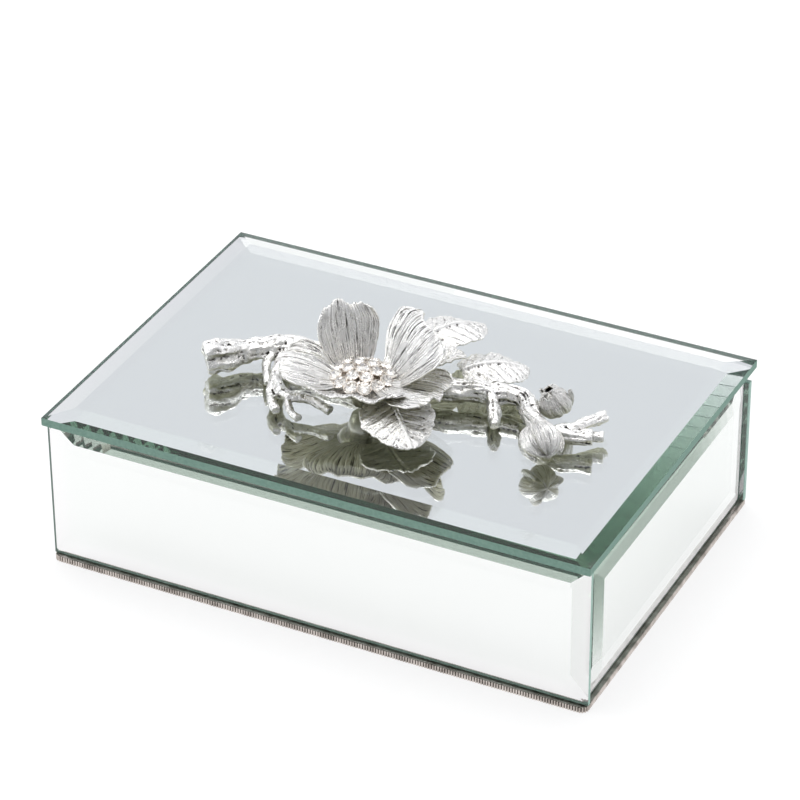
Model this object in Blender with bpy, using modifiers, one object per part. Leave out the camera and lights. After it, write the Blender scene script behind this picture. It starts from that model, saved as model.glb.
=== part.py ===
"""Mirrored vanity trinket box: bevelled mirror panels on wooden boards, a reeded base strip, a hinged
mirror lid and a cast flower spray with crystals on the lid. Metres, +Z up, front face towards -Y."""
import math

import bmesh
import bpy
from mathutils import Matrix, Vector

MM = 0.001

# Overall size
LID_LENGTH = 216 * MM
LID_WIDTH = 150 * MM
LID_TOP = 63.8 * MM
OVERHANG = 0.7 * MM
GLUE = 0.3 * MM

# Mirror plates
LID_GLASS = 5.0 * MM
LID_EDGE = 3.4 * MM
LID_BEVEL = 9.0 * MM
LID_GAP = 0.5 * MM
WALL_GLASS = 4.0 * MM
WALL_EDGE = 2.0 * MM
WALL_BEVEL = 9.0 * MM
BACK_GLASS_TOP = 54.6 * MM

# Base
RIM_HEIGHT = 2.3 * MM
RIM_WIDTH = 6.0 * MM
RIM_CORNER = 3.0 * MM
GLASS_BOTTOM = RIM_HEIGHT + GLUE

# Boards and linings
BOARD = 4.0 * MM
BOARD_TOP = 58.0 * MM
BOTTOM_BOARD = 3.0 * MM
LINING = 1.5 * MM
LINING_TOP = 54.0 * MM
PLUG_BOTTOM = 54.5 * MM
PLUG_TOP = 58.5 * MM
PLUG_GAP = 0.8 * MM
LID_PAD = 2.5 * MM

# Hinges
HINGE_X = 60 * MM
HINGE_LENGTH = 30 * MM
AXIS_Y = 72.7 * MM
AXIS_Z = 56.6 * MM
BARREL_R = 1.55 * MM
BORE_R = 0.95 * MM
PIN_R = 0.75 * MM
LEAF = 0.8 * MM
BODY_LEAF_BOTTOM = 55.9 * MM
LID_LEAF_BOTTOM = 57.4 * MM
LID_LEAF_FRONT = 48 * MM
SCREW_STEP = 18 * MM
SCREW_R = 0.7 * MM
SCREW_HEAD_R = 1.4 * MM

# Bumpers
BUMPER_R = 1.4 * MM
BUMPER_X = 97 * MM

# Ornament: centre of the flower and its heights above the lid
FLOWER_X = -7.5 * MM
FLOWER_Y = -17.4 * MM
FLOWER_FLOOR = 10.0 * MM
CUP_R = 12.6 * MM
PETAL_SHEET = 1.0 * MM
DOME_R = 18.5 * MM
DOME_BASE_R = 10.6 * MM
STONE_R = 2.15 * MM

BODY_X = LID_LENGTH / 2 - OVERHANG
BODY_Y = LID_WIDTH / 2 - OVERHANG
LID_BOTTOM = LID_TOP - LID_GLASS
GLASS_TOP = LID_BOTTOM - LID_GAP
BOARD_OUT_X = BODY_X - WALL_GLASS - GLUE
BOARD_OUT_Y = BODY_Y - WALL_GLASS - GLUE
INNER_X = BOARD_OUT_X - BOARD
INNER_Y = BOARD_OUT_Y - BOARD

for old in list(bpy.data.objects):
    bpy.data.objects.remove(old, do_unlink=True)

box_parts = bpy.data.collections.new("vanity_trinket_box")
bpy.context.scene.collection.children.link(box_parts)
cutters = bpy.data.collections.new("cutters")
bpy.context.scene.collection.children.link(cutters)
cutters.hide_render = True

lid_axis = bpy.data.objects.new("lid_axis", None)
lid_axis.empty_display_size = 0.01
lid_axis.location = (0, AXIS_Y, AXIS_Z)
box_parts.objects.link(lid_axis)


def material(name, colour, roughness, metallic):
    made = bpy.data.materials.new(name)
    made.use_nodes = True
    shader = made.node_tree.nodes["Principled BSDF"]
    shader.inputs["Base Color"].default_value = (*colour, 1)
    shader.inputs["Roughness"].default_value = roughness
    shader.inputs["Metallic"].default_value = metallic
    return made


def finish(name, bm, place, looks, on_lid=False, smooth=False):
    """Adds one solid; place is the position or matrix of its own origin in the box's frame."""
    colour, roughness, metallic = looks
    mesh = bpy.data.meshes.new(name)
    bmesh.ops.recalc_face_normals(bm, faces=bm.faces)
    for face in bm.faces:
        face.smooth = smooth
    bm.to_mesh(mesh)
    bm.free()
    made = bpy.data.objects.new(name, mesh)
    box_parts.objects.link(made)
    made.data.materials.append(material(name, colour, roughness, metallic))
    matrix = place if isinstance(place, Matrix) else Matrix.Translation(place)
    if on_lid:
        made.parent = lid_axis
        matrix = Matrix.Translation((0, -AXIS_Y, -AXIS_Z)) @ matrix
    made.matrix_basis = matrix
    return made


def cutter(name, bm, place):
    mesh = bpy.data.meshes.new(name)
    bmesh.ops.recalc_face_normals(bm, faces=bm.faces)
    bm.to_mesh(mesh)
    bm.free()
    made = bpy.data.objects.new(name, mesh)
    cutters.objects.link(made)
    made.location = place
    made.hide_render = True
    made.display_type = "WIRE"
    return made


def boolean(target, operation, other):
    modifier = target.modifiers.new(other.name, "BOOLEAN")
    modifier.operation = operation
    modifier.solver = "EXACT"
    modifier.object = other
    return modifier


def cube(size):
    bm = bmesh.new()
    bmesh.ops.create_cube(bm, size=1)
    bmesh.ops.scale(bm, vec=size, verts=bm.verts)
    return bm


def rod(radius, length, segments=20, top_radius=None):
    bm = bmesh.new()
    end = radius if top_radius is None else top_radius
    bmesh.ops.create_cone(bm, cap_ends=True, segments=segments, radius1=radius, radius2=end, depth=length)
    return bm


def rounded_block(size, corner, segments=4):
    """A block whose four upright edges are rounded."""
    bm = cube(size)
    upright = [e for e in bm.edges if abs(e.verts[0].co.z - e.verts[1].co.z) > size[2] / 2]
    bmesh.ops.bevel(bm, geom=upright, offset=corner, segments=segments, affect="EDGES", profile=0.5)
    return bm


def between(low, high):
    """Size and centre of a block given by two corners."""
    size = Vector(high) - Vector(low)
    return size, Vector(low) + size / 2


WOOD = ((0.42, 0.30, 0.19), 0.6, 0.0)
SILVERED = ((0.80, 0.86, 0.85), 0.05, 1.0)
PEWTER = ((0.62, 0.61, 0.60), 0.28, 1.0)
VELVET = ((0.80, 0.79, 0.77), 0.9, 0.0)
STEEL = ((0.70, 0.70, 0.72), 0.3, 1.0)
CRYSTAL = ((0.92, 0.92, 0.90), 0.05, 0.0)


# Five mirror plates, each with a ground bevel all round its outer face and a flat silvered back.
def mirror_plate(name, length, width, edge, thickness, bevel, place, on_lid=False):
    bm = cube((length, width, edge))
    bmesh.ops.translate(bm, vec=(0, 0, edge / 2), verts=bm.verts)
    bm.faces.ensure_lookup_table()
    outer = max(bm.faces, key=lambda f: f.calc_center_median().z)
    bmesh.ops.inset_region(bm, faces=[outer], thickness=bevel, depth=thickness - edge)
    return finish(name, bm, place, SILVERED, on_lid)


def facing(turn, x, y, z):
    """Frame of an upright plate: its outer face looks along -Y turned by the angle about Z."""
    upright = Matrix.Rotation(math.radians(90), 4, "X")
    return Matrix.Translation((x, y, z)) @ Matrix.Rotation(math.radians(turn), 4, "Z") @ upright


wall_height = GLASS_TOP - GLASS_BOTTOM
back_height = BACK_GLASS_TOP - GLASS_BOTTOM
side_length = 2 * (BODY_Y - WALL_GLASS - GLUE)
mid = GLASS_BOTTOM + wall_height / 2
back_mid = GLASS_BOTTOM + back_height / 2
glass_y = BODY_Y - WALL_GLASS
glass_x = BODY_X - WALL_GLASS
WALL_CUT = (WALL_EDGE, WALL_GLASS, WALL_BEVEL)
mirror_plate("front_mirror", 2 * BODY_X, wall_height, *WALL_CUT, facing(0, 0, -glass_y, mid))
mirror_plate("back_mirror", 2 * BODY_X, back_height, *WALL_CUT, facing(180, 0, glass_y, back_mid))
mirror_plate("right_mirror", side_length, wall_height, *WALL_CUT, facing(90, glass_x, 0, mid))
mirror_plate("left_mirror", side_length, wall_height, *WALL_CUT, facing(-90, -glass_x, 0, mid))
LID_CUT = (LID_EDGE, LID_GLASS, LID_BEVEL)
mirror_plate("lid_mirror", LID_LENGTH, LID_WIDTH, *LID_CUT, (0, 0, LID_BOTTOM), True)


# The wooden carcass behind the mirrors: four walls and a bottom let in between them.
def board(name, low, high, looks=WOOD, on_lid=False):
    size, centre = between(low, high)
    return finish(name, cube(size), centre, looks, on_lid)


front_board = board(
    "front_board", (-BOARD_OUT_X, -BOARD_OUT_Y, GLASS_BOTTOM), (BOARD_OUT_X, -INNER_Y, BOARD_TOP)
)
back_board = board(
    "back_board", (-BOARD_OUT_X, INNER_Y, GLASS_BOTTOM), (BOARD_OUT_X, BOARD_OUT_Y, BOARD_TOP)
)
side_end = INNER_Y - GLUE
board("left_board", (-BOARD_OUT_X, -side_end, GLASS_BOTTOM), (-INNER_X, side_end, BOARD_TOP))
board("right_board", (INNER_X, -side_end, GLASS_BOTTOM), (BOARD_OUT_X, side_end, BOARD_TOP))
floor_x = INNER_X - GLUE
floor_top = GLASS_BOTTOM + BOTTOM_BOARD
board("bottom_board", (-floor_x, -side_end, GLASS_BOTTOM), (floor_x, side_end, floor_top))

# The reeded metal strip bent round the foot of the box, and the felt let in under the bottom.
rim = finish(
    "base_rim",
    rounded_block((2 * BODY_X, 2 * BODY_Y, RIM_HEIGHT), RIM_CORNER),
    (0, 0, RIM_HEIGHT / 2),
    PEWTER,
)
rim_hole = rounded_block((2 * (BODY_X - RIM_WIDTH), 2 * (BODY_Y - RIM_WIDTH), 3 * RIM_HEIGHT), RIM_CORNER / 2)
boolean(rim, "DIFFERENCE", cutter("rim_hole", rim_hole, (0, 0, RIM_HEIGHT / 2)))
felt_x = BODY_X - RIM_WIDTH - GLUE
felt_y = BODY_Y - RIM_WIDTH - GLUE
felt = rounded_block((2 * felt_x, 2 * felt_y, RIM_HEIGHT), RIM_CORNER / 2)
finish("felt_pad", felt, (0, 0, RIM_HEIGHT / 2), ((0.05, 0.05, 0.06), 0.95, 0.0))

# Padded velvet linings: the floor, the four walls, and the pad under the lid.
lining_x = INNER_X - GLUE
lining_y = INNER_Y - GLUE
lining_z = floor_top + GLUE
wall_x = lining_x - LINING
wall_y = lining_y - LINING
board("front_lining", (-lining_x, -lining_y, lining_z), (lining_x, -wall_y, LINING_TOP), VELVET)
board("back_lining", (-lining_x, wall_y, lining_z), (lining_x, lining_y, LINING_TOP), VELVET)
pad_y = wall_y - GLUE
board("left_lining", (-lining_x, -pad_y, lining_z), (-wall_x, pad_y, LINING_TOP), VELVET)
board("right_lining", (wall_x, -pad_y, lining_z), (lining_x, pad_y, LINING_TOP), VELVET)
pad_x = wall_x - GLUE
board("floor_lining", (-pad_x, -pad_y, lining_z), (pad_x, pad_y, lining_z + LINING), VELVET)
lid_pad_x = 95 * MM
lid_pad_y = 61 * MM
lid_pad_top = PLUG_BOTTOM - GLUE
lid_pad = rounded_block((2 * lid_pad_x, 2 * lid_pad_y, LID_PAD), 3 * MM)
finish("lid_lining", lid_pad, (0, 0, lid_pad_top - LID_PAD / 2), VELVET, True)

# The board glued under the lid mirror drops between the walls and keeps the lid in place.
plug_x = INNER_X - PLUG_GAP
plug_y = INNER_Y - PLUG_GAP
lid_board = board("lid_board", (-plug_x, -plug_y, PLUG_BOTTOM), (plug_x, plug_y, PLUG_TOP), WOOD, True)

# Two three-knuckle hinges. The body leaf holds the outer knuckles and the pin, the lid leaf the middle one.
screw_y_body = 68.0 * MM
screw_y_lid = 54.0 * MM
knuckle = HINGE_LENGTH / 3
across = Matrix.Rotation(math.radians(90), 4, "Y")


def lying_rod(radius, length, segments=20):
    bm = rod(radius, length, segments)
    bmesh.ops.transform(bm, matrix=across, verts=bm.verts)
    return bm


def hinge_leaf(name, x, front, bottom, knuckles, screw_y, on_lid):
    """One leaf: a flat plate joined to its knuckles, bored for the pin and countersunk for two screws."""
    back = AXIS_Y - 0.5 * MM
    size = Vector((HINGE_LENGTH, back - front, LEAF))
    centre = Vector((x, (front + back) / 2, bottom + LEAF / 2))
    leaf = finish(name, cube(size), centre, STEEL, on_lid)
    for i in range(3):
        offset = (i - 1) * knuckle
        place = (x + offset, AXIS_Y, AXIS_Z)
        if i in knuckles:
            made = cutter(f"{name}_knuckle_{i}", lying_rod(BARREL_R, knuckle - 0.4 * MM), place)
            boolean(leaf, "UNION", made)
        else:
            room = cube((knuckle + 0.2 * MM, 4.4 * MM, 4.4 * MM))
            boolean(leaf, "DIFFERENCE", cutter(f"{name}_room_{i}", room, place))
    bore = lying_rod(BORE_R, HINGE_LENGTH + 4 * MM, 16)
    boolean(leaf, "DIFFERENCE", cutter(f"{name}_bore", bore, (x, AXIS_Y, AXIS_Z)))
    for k in (-1, 1):
        place = (x + k * SCREW_STEP / 2, screw_y, bottom + LEAF / 2)
        hole = rod(SCREW_R + 0.2 * MM, LEAF + 0.4 * MM, 16, SCREW_HEAD_R + 0.5 * MM)
        boolean(leaf, "DIFFERENCE", cutter(f"{name}_hole_{k + 1}", hole, place))
    return leaf


def screw(name, x, y, top, length, on_lid):
    """A countersunk wood screw standing on its point: a turned profile swept round the Z axis."""
    bm = bmesh.new()
    head = SCREW_HEAD_R + 0.1 * MM
    profile = [(0, -length), (SCREW_R * 0.5, -length + 0.8 * MM)]
    profile += [(SCREW_R, -length + 1.8 * MM), (SCREW_R, -0.9 * MM)]
    profile += [(head, -0.15 * MM), (head, 0), (0, 0)]
    verts = [bm.verts.new((r, 0, z)) for r, z in profile]
    edges = [bm.edges.new(pair) for pair in zip(verts, verts[1:])]
    bmesh.ops.spin(
        bm,
        geom=verts + edges,
        cent=(0, 0, 0),
        axis=(0, 0, 1),
        angle=math.tau,
        steps=14,
        use_merge=True,
        use_duplicate=False,
    )
    bmesh.ops.remove_doubles(bm, verts=bm.verts, dist=1e-6)
    return finish(name, bm, (x, y, top), STEEL, on_lid)


def pilot(target, name, x, y, top, depth):
    """A drilled hole for a screw, open at the top."""
    hole = rod(SCREW_R + 0.3 * MM, depth + 1 * MM, 12)
    boolean(target, "DIFFERENCE", cutter(name, hole, (x, y, top - depth / 2 + 0.5 * MM)))


for side, sign in (("left", -1), ("right", 1)):
    x = sign * HINGE_X
    body_leaf_front = INNER_Y + 0.3 * MM
    hinge_leaf(f"hinge_{side}_body_leaf", x, body_leaf_front, BODY_LEAF_BOTTOM, (0, 2), screw_y_body, False)
    hinge_leaf(f"hinge_{side}_lid_leaf", x, LID_LEAF_FRONT, LID_LEAF_BOTTOM, (1,), screw_y_lid, True)
    finish(f"hinge_{side}_pin", lying_rod(PIN_R, HINGE_LENGTH - 0.6 * MM, 14), (x, AXIS_Y, AXIS_Z), STEEL)
    notch = cube((HINGE_LENGTH + 1 * MM, 3 * BOARD, 2 * (BOARD_TOP - BODY_LEAF_BOTTOM + GLUE)))
    boolean(back_board, "DIFFERENCE", cutter(f"notch_{side}", notch, (x, INNER_Y + BOARD / 2, BOARD_TOP)))
    pocket_low = LID_LEAF_BOTTOM - GLUE
    pocket_depth = PLUG_TOP - pocket_low
    pocket_length = 2 * (plug_y - LID_LEAF_FRONT + 0.5 * MM)
    pocket = cube((HINGE_LENGTH + 1 * MM, pocket_length, 2 * pocket_depth))
    boolean(lid_board, "DIFFERENCE", cutter(f"pocket_{side}", pocket, (x, plug_y, PLUG_TOP)))
    for k in (-1, 1):
        sx = x + k * SCREW_STEP / 2
        number = 1 if k < 0 else 2
        screw(f"screw_{side}_body_{number}", sx, screw_y_body, BODY_LEAF_BOTTOM + LEAF, 6 * MM, False)
        screw(f"screw_{side}_lid_{number}", sx, screw_y_lid, LID_LEAF_BOTTOM + LEAF, 2.9 * MM, True)
        pilot(back_board, f"pilot_{side}_{number}", sx, screw_y_body, BODY_LEAF_BOTTOM, 6 * MM)
        pilot(lid_board, f"lid_pilot_{side}_{number}", sx, screw_y_lid, pocket_low, 2.2 * MM)

# Two clear silicone bumpers pressed into drilled holes in the front board carry the lid.
for side, sign in (("left", -1), ("right", 1)):
    place_y = -(INNER_Y + BOARD / 2)
    top = LID_BOTTOM - GLUE
    bump = rod(BUMPER_R, 3.4 * MM, 16, BUMPER_R * 0.9)
    bump_place = (sign * BUMPER_X, place_y, top - 1.7 * MM)
    finish(f"bumper_{side}", bump, bump_place, ((0.85, 0.85, 0.83), 0.4, 0.0))
    hole = rod(BUMPER_R + 0.1 * MM, 8 * MM, 16)
    hole_place = (sign * BUMPER_X, place_y, BOARD_TOP + 0.8 * MM)
    boolean(front_board, "DIFFERENCE", cutter(f"bumper_hole_{side}", hole, hole_place))


# The cast branch lying along the lid: tapering limbs swept along bent centre lines and fused together.
def limb(name, points, on=None):
    """points are (x, y, height above the lid, radius) in millimetres."""
    curve = bpy.data.curves.new(name, "CURVE")
    curve.dimensions = "3D"
    curve.bevel_depth = MM
    curve.bevel_resolution = 2
    curve.use_fill_caps = True
    spline = curve.splines.new("POLY")
    spline.points.add(len(points) - 1)
    for point, (x, y, h, radius) in zip(spline.points, points):
        point.co = (x * MM, y * MM, LID_TOP + h * MM, 1)
        point.radius = radius
    holder = bpy.data.objects.new(name + "_line", curve)
    cutters.objects.link(holder)
    bpy.context.view_layer.update()
    mesh = bpy.data.meshes.new_from_object(holder.evaluated_get(bpy.context.evaluated_depsgraph_get()))
    bm = bmesh.new()
    bm.from_mesh(mesh)
    bmesh.ops.remove_doubles(bm, verts=bm.verts, dist=1e-6)
    bpy.data.objects.remove(holder)
    bpy.data.curves.remove(curve)
    if on is None:
        return finish(name, bm, (0, 0, 0), PEWTER, True, True)
    boolean(on, "UNION", cutter(name, bm, (0, 0, 0)))


branch = limb(
    "branch",
    [
        (-70, -24, 5.4, 3.4), (-67.5, -22, 5.6, 4.9), (-63, -18.5, 5.6, 4.9), (-59, -13, 5.0, 3.4),
        (-52, -7.5, 4.8, 3.0), (-44, -3.5, 4.9, 3.3), (-33, -2, 4.9, 3.5), (-18, -3, 4.6, 3.6), (-2, -4, 4.4, 3.6),
        (16, -3, 4.4, 3.6), (30, 1, 4.4, 3.3), (42, 4, 4.2, 3.0), (48, 2.5, 4.2, 2.9), (54.5, -6, 3.9, 2.6),
        (62, -10.5, 3.6, 2.5), (70, -10.5, 3.6, 2.4), (78.5, -7.5, 4.2, 2.2),
    ],
)
limb("stub_back", [(66, -10.5, 4.0, 1.8), (72, -5, 4.6, 1.8), (78, 5, 5.6, 1.7)], branch)
limb("stub_low", [(68, -10, 3.0, 1.6), (75, -5.8, 2.4, 1.5), (81, -3.6, 2.2, 1.5)], branch)
limb("twig_hanging", [(35, 1, 4.6, 2.0), (38.5, -5, 3.6, 1.8), (43, -13.5, 2.1, 1.5)], branch)
limb(
    "twig_left",
    [
        (-45, -4, 5.0, 2.2), (-43, -14, 5.0, 2.0), (-39.5, -24, 4.8, 2.0),
        (-33, -31.5, 4.6, 2.3), (-22.5, -30, 4.4, 1.5), (-13, -32, 3.4, 1.3),
    ],
    branch,
)
limb("twig_left_short", [(-40.5, -22, 4.4, 1.7), (-37, -32, 3.0, 1.6), (-31.5, -39, 2.0, 1.4)], branch)

# The flower: one casting of five cupped petals round a flat floor, on a short foot.
# Each petal: direction, slope, length, half the share of the circle it fills (degrees and millimetres).
PETALS = ((50, 55, 25.0), (137, 74, 24.5), (199, 20, 18.5), (279, 38, 11.0), (358, 18, 19.5))
PETAL_STEPS = 12
petal_mesh = bmesh.new()
columns = []
for i, (turn, slope, length) in enumerate(PETALS):
    before = PETALS[i - 1]
    after = PETALS[(i + 1) % 5]
    low = (before[0] + turn - (360 if before[0] > turn else 0)) / 2
    high = (after[0] + turn + (360 if after[0] < turn else 0)) / 2
    for k in range(PETAL_STEPS):
        s = 2 * k / PETAL_STEPS - 1
        angle = turn + s * (turn - low) if s < 0 else turn + s * (high - turn)
        next_slope = before[1] if s < 0 else after[1]
        share = 0.5 * abs(s) ** 3
        tilt = slope * (1 - share) + next_slope * share
        reach = 2.0 + (length - 2.0) * (1 - abs(s) ** 4) ** 0.6
        column = []
        for ring in range(1, 9):
            a = math.radians(angle)
            if ring < 4:
                r = CUP_R * ring / 3
                h = FLOWER_FLOOR
            else:
                along = (ring - 3) / 5 * reach * MM
                bend = math.radians(tilt + 9 * (0.5 - (ring - 3) / 5))
                r = CUP_R + along * math.cos(bend)
                h = FLOWER_FLOOR + along * math.sin(bend)
            column.append(petal_mesh.verts.new((r * math.cos(a), r * math.sin(a), h)))
        columns.append(column)
hub = petal_mesh.verts.new((0, 0, FLOWER_FLOOR))
for this, following in zip(columns, columns[1:] + columns[:1]):
    petal_mesh.faces.new((hub, this[0], following[0]))
    for a, b, c, d in zip(this, this[1:], following[1:], following):
        petal_mesh.faces.new((a, b, c, d))
flower = finish("flower", petal_mesh, (FLOWER_X, FLOWER_Y, LID_TOP), PEWTER, True, True)
sheet = flower.modifiers.new("sheet", "SOLIDIFY")
sheet.thickness = PETAL_SHEET
sheet.offset = -1
foot = cutter("flower_foot", rod(4 * MM, 9.4 * MM, 20, 5 * MM), (FLOWER_X, FLOWER_Y, LID_TOP + 5.0 * MM))
boolean(flower, "UNION", foot)

# The domed setting in the middle of the flower and its clear stones.
setting_low = FLOWER_FLOOR + GLUE
ball_low = FLOWER_FLOOR + 3.6 * MM - DOME_R
setting = bmesh.new()
bmesh.ops.create_uvsphere(setting, u_segments=32, v_segments=24, radius=DOME_R)
bmesh.ops.bisect_plane(
    setting,
    geom=setting.verts[:] + setting.edges[:] + setting.faces[:],
    plane_co=(0, 0, DOME_R - 3.3 * MM),
    plane_no=(0, 0, -1),
    clear_outer=True,
)
open_edges = [e for e in setting.edges if e.is_boundary]
bmesh.ops.holes_fill(setting, edges=open_edges)
setting_place = (FLOWER_X, FLOWER_Y, LID_TOP + ball_low)
finish("crystal_setting", setting, setting_place, ((0.60, 0.50, 0.40), 0.3, 1.0), True, True)


def stone(radius, sides=8):
    """A low round-cut stone: small table, sloping crown, narrow girdle and a flat foot."""
    bm = bmesh.new()
    rings = []
    for r, z, turn in ((0.55, -0.42, 0), (1.0, 0.0, 0.5), (1.0, 0.12, 0.5), (0.62, 0.5, 0)):
        ring = []
        for k in range(sides):
            a = math.tau * (k + turn) / sides
            ring.append(bm.verts.new((r * radius * math.cos(a), r * radius * math.sin(a), z * radius)))
        rings.append(ring)
    bm.faces.new(list(reversed(rings[0])))
    bm.faces.new(rings[-1])
    for low, high in zip(rings, rings[1:]):
        for k in range(sides):
            n = (k + 1) % sides
            bm.faces.new((low[k], low[n], high[n]))
            bm.faces.new((low[k], high[n], high[k]))
    return bm


def on_dome(lean, turn, lift):
    """Frame of a stone standing on the dome, leaning outwards by lean degrees."""
    centre = Matrix.Translation((FLOWER_X, FLOWER_Y, LID_TOP + ball_low))
    turned = Matrix.Rotation(math.radians(turn), 4, "Z") @ Matrix.Rotation(math.radians(lean), 4, "Y")
    return centre @ turned @ Matrix.Translation((0, 0, DOME_R + lift))


STONE_LIFT = 1.35 * MM
finish("crystal_centre", stone(STONE_R * 1.08), on_dome(0, 0, STONE_LIFT), CRYSTAL, True)
for i in range(6):
    finish(f"crystal_inner_{i + 1}", stone(STONE_R), on_dome(15.2, 60 * i + 12, STONE_LIFT), CRYSTAL, True)
outer_ring = finish("crystal_outer_ring", stone(STONE_R * 1.25, 12), on_dome(29.6, 0, STONE_LIFT), CRYSTAL, True)
for i in range(1, 12):
    one = cutter(f"outer_stone_{i}", stone(STONE_R * 1.25, 12), (0, 0, 0))
    one.matrix_basis = on_dome(29.6, 30 * i, STONE_LIFT)
    boolean(outer_ring, "UNION", one)


# Cast leaves: thin pointed blades folded along the midrib and drooping towards the tip.
def leaf(name, root, tip, width, droop, fold):
    """root and tip are (x, y, height above the lid); all in millimetres."""
    bm = bmesh.new()
    start = Vector(root)
    along = Vector(tip) - start
    side = Vector((-along.y, along.x, 0)).normalized()
    rows = 8
    cols = 6
    grid = []
    for i in range(rows + 1):
        u = i / rows
        half = width / 2 * (0.16 + 0.84 * math.sin(math.pi * min(1, 0.08 + 0.9 * u) ** 0.85) ** 0.7)
        row = []
        for k in range(cols + 1):
            s = 2 * k / cols - 1
            p = start + along * u + side * (half * s)
            p.z += droop * math.sin(math.pi * u) - fold * (abs(s) - 0.5) * half / (width / 2)
            row.append(bm.verts.new((p.x * MM, p.y * MM, p.z * MM)))
        grid.append(row)
    for low, high in zip(grid, grid[1:]):
        for k in range(cols):
            bm.faces.new((low[k], low[k + 1], high[k + 1], high[k]))
    made = finish(name, bm, (0, 0, LID_TOP), PEWTER, True, True)
    blade = made.modifiers.new("blade", "SOLIDIFY")
    blade.thickness = 1.0 * MM
    blade.offset = 0
    return made


leaf("leaf_front", (4, -21, 7.0), (23, -40, 2.2), 27, 1.6, 1.4)
leaf("leaf_back", (0.5, 12, 8.6), (14.5, 38.5, 3.8), 20, 3.0, 2.4)
leaf("leaf_right", (21.5, 7, 7.0), (40, 22, 4.4), 15, 3.0, 2.0)
leaf("leaf_small", (10.5, 3, 10.2), (18.5, 11.5, 10.6), 8, 1.4, -2.6)


# Two half-open buds beside the forked end of the branch.
def bud(name, place, radius, height):
    bm = bmesh.new()
    bmesh.ops.create_uvsphere(bm, u_segments=18, v_segments=12, radius=1)
    bmesh.ops.scale(bm, vec=(radius * MM, radius * MM, height * MM), verts=bm.verts)
    for vert in bm.verts:
        turn = math.atan2(vert.co.y, vert.co.x)
        lobe = 1 + 0.06 * math.cos(3 * turn)
        vert.co.x *= lobe
        vert.co.y *= lobe
    x, y, h = place
    return finish(name, bm, (x * MM, y * MM, LID_TOP + h * MM), PEWTER, True, True)


bud("bud_front", (64.5, -22, 7.1), 7.9, 6.5)
bud("bud_back", (58.5, 3.4, 7.0), 5.5, 5.6)
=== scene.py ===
import math

import bmesh
import bpy
import numpy as np
from mathutils import Matrix, Vector, noise


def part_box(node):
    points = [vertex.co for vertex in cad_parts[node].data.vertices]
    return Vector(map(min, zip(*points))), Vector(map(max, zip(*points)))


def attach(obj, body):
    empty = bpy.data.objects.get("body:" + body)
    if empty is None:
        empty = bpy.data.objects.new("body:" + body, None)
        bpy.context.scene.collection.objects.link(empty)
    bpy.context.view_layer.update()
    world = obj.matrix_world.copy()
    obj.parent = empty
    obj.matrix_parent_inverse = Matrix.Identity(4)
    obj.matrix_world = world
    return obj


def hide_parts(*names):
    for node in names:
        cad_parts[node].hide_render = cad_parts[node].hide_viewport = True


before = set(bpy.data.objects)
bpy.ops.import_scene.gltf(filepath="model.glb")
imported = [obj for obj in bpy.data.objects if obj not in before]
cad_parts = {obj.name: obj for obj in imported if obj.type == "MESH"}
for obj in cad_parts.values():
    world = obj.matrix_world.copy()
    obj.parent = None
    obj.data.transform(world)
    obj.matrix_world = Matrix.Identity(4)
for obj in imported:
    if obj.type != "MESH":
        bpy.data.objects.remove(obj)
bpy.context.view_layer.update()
MM = 0.001

# Camera and stage. A long lens looks down on the front and the right side from about 32 degrees.
# The floor is plain pale paper that glows a little, with painted shade far out in front, and the
# room is a white studio with a slightly greyer far wall and a darker screen behind the camera,
# which the bright metal reflects.
for name in ("Cube", "Light", "Camera"):
    if name in bpy.data.objects:
        bpy.data.objects.remove(bpy.data.objects[name])
VIEW_AZIMUTH = math.radians(26.703)
VIEW_ELEVATION = math.radians(32.228)
VIEW_TILT = math.radians(-0.319)
VIEW_DISTANCE = 1.36868
VIEW_AIM = Vector((-0.00029, -0.00210, 0.05840))
SENSOR_MM, LENS_MM = 36, 169.41
scene = bpy.context.scene
camera = bpy.data.objects.new("camera", bpy.data.cameras.new("camera"))
camera.data.sensor_width = SENSOR_MM
camera.data.lens = LENS_MM
camera.data.clip_end = 60
turned = Matrix.Rotation(VIEW_AZIMUTH, 4, "Z") @ Matrix.Rotation(math.pi / 2 - VIEW_ELEVATION, 4, "X")
turned = turned @ Matrix.Rotation(VIEW_TILT, 4, "Z")
camera.matrix_world = Matrix.Translation(VIEW_AIM) @ turned @ Matrix.Translation((0, 0, VIEW_DISTANCE))
scene.collection.objects.link(camera)
scene.camera = camera
scene.view_settings.view_transform = "Standard"
GLASS_BOUNCES = 96  # light trapped between a bevel and the silver turns back dozens of times
scene.cycles.max_bounces = GLASS_BOUNCES
scene.cycles.glossy_bounces = GLASS_BOUNCES
scene.cycles.transmission_bounces = GLASS_BOUNCES


def colour(code):
    """A linear colour from an sRGB hex code."""
    parts = [int(code[i : i + 2], 16) / 255 for i in (0, 2, 4)]
    return (*[p / 12.92 if p <= 0.04045 else ((p + 0.055) / 1.055) ** 2.4 for p in parts], 1)


def add(tree, kind, values=None, links=None, stops=None, **settings):
    """Adds a node with its settings, socket values, links from other outputs and colour stops."""
    made = tree.nodes.new(kind)
    for key, value in settings.items():
        setattr(made, key, value)
    for key, value in (values or {}).items():
        made.inputs[key].default_value = value
    for key, source in (links or {}).items():
        tree.links.new(source, made.inputs[key])
    if stops:
        elements = made.color_ramp.elements
        elements[0].position, elements[0].color = stops[0]
        elements[1].position, elements[1].color = stops[-1]
        for position, shade in stops[1:-1]:
            elements.new(position).color = shade
    return made


def surface(name, **values):
    """A new material with a Principled shader; returns the material, its tree and its shader."""
    made = bpy.data.materials.new(name)
    made.use_nodes = True
    shader = made.node_tree.nodes["Principled BSDF"]
    for key, value in values.items():
        shader.inputs[key.replace("_", " ")].default_value = value
    return made, made.node_tree, shader


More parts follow.
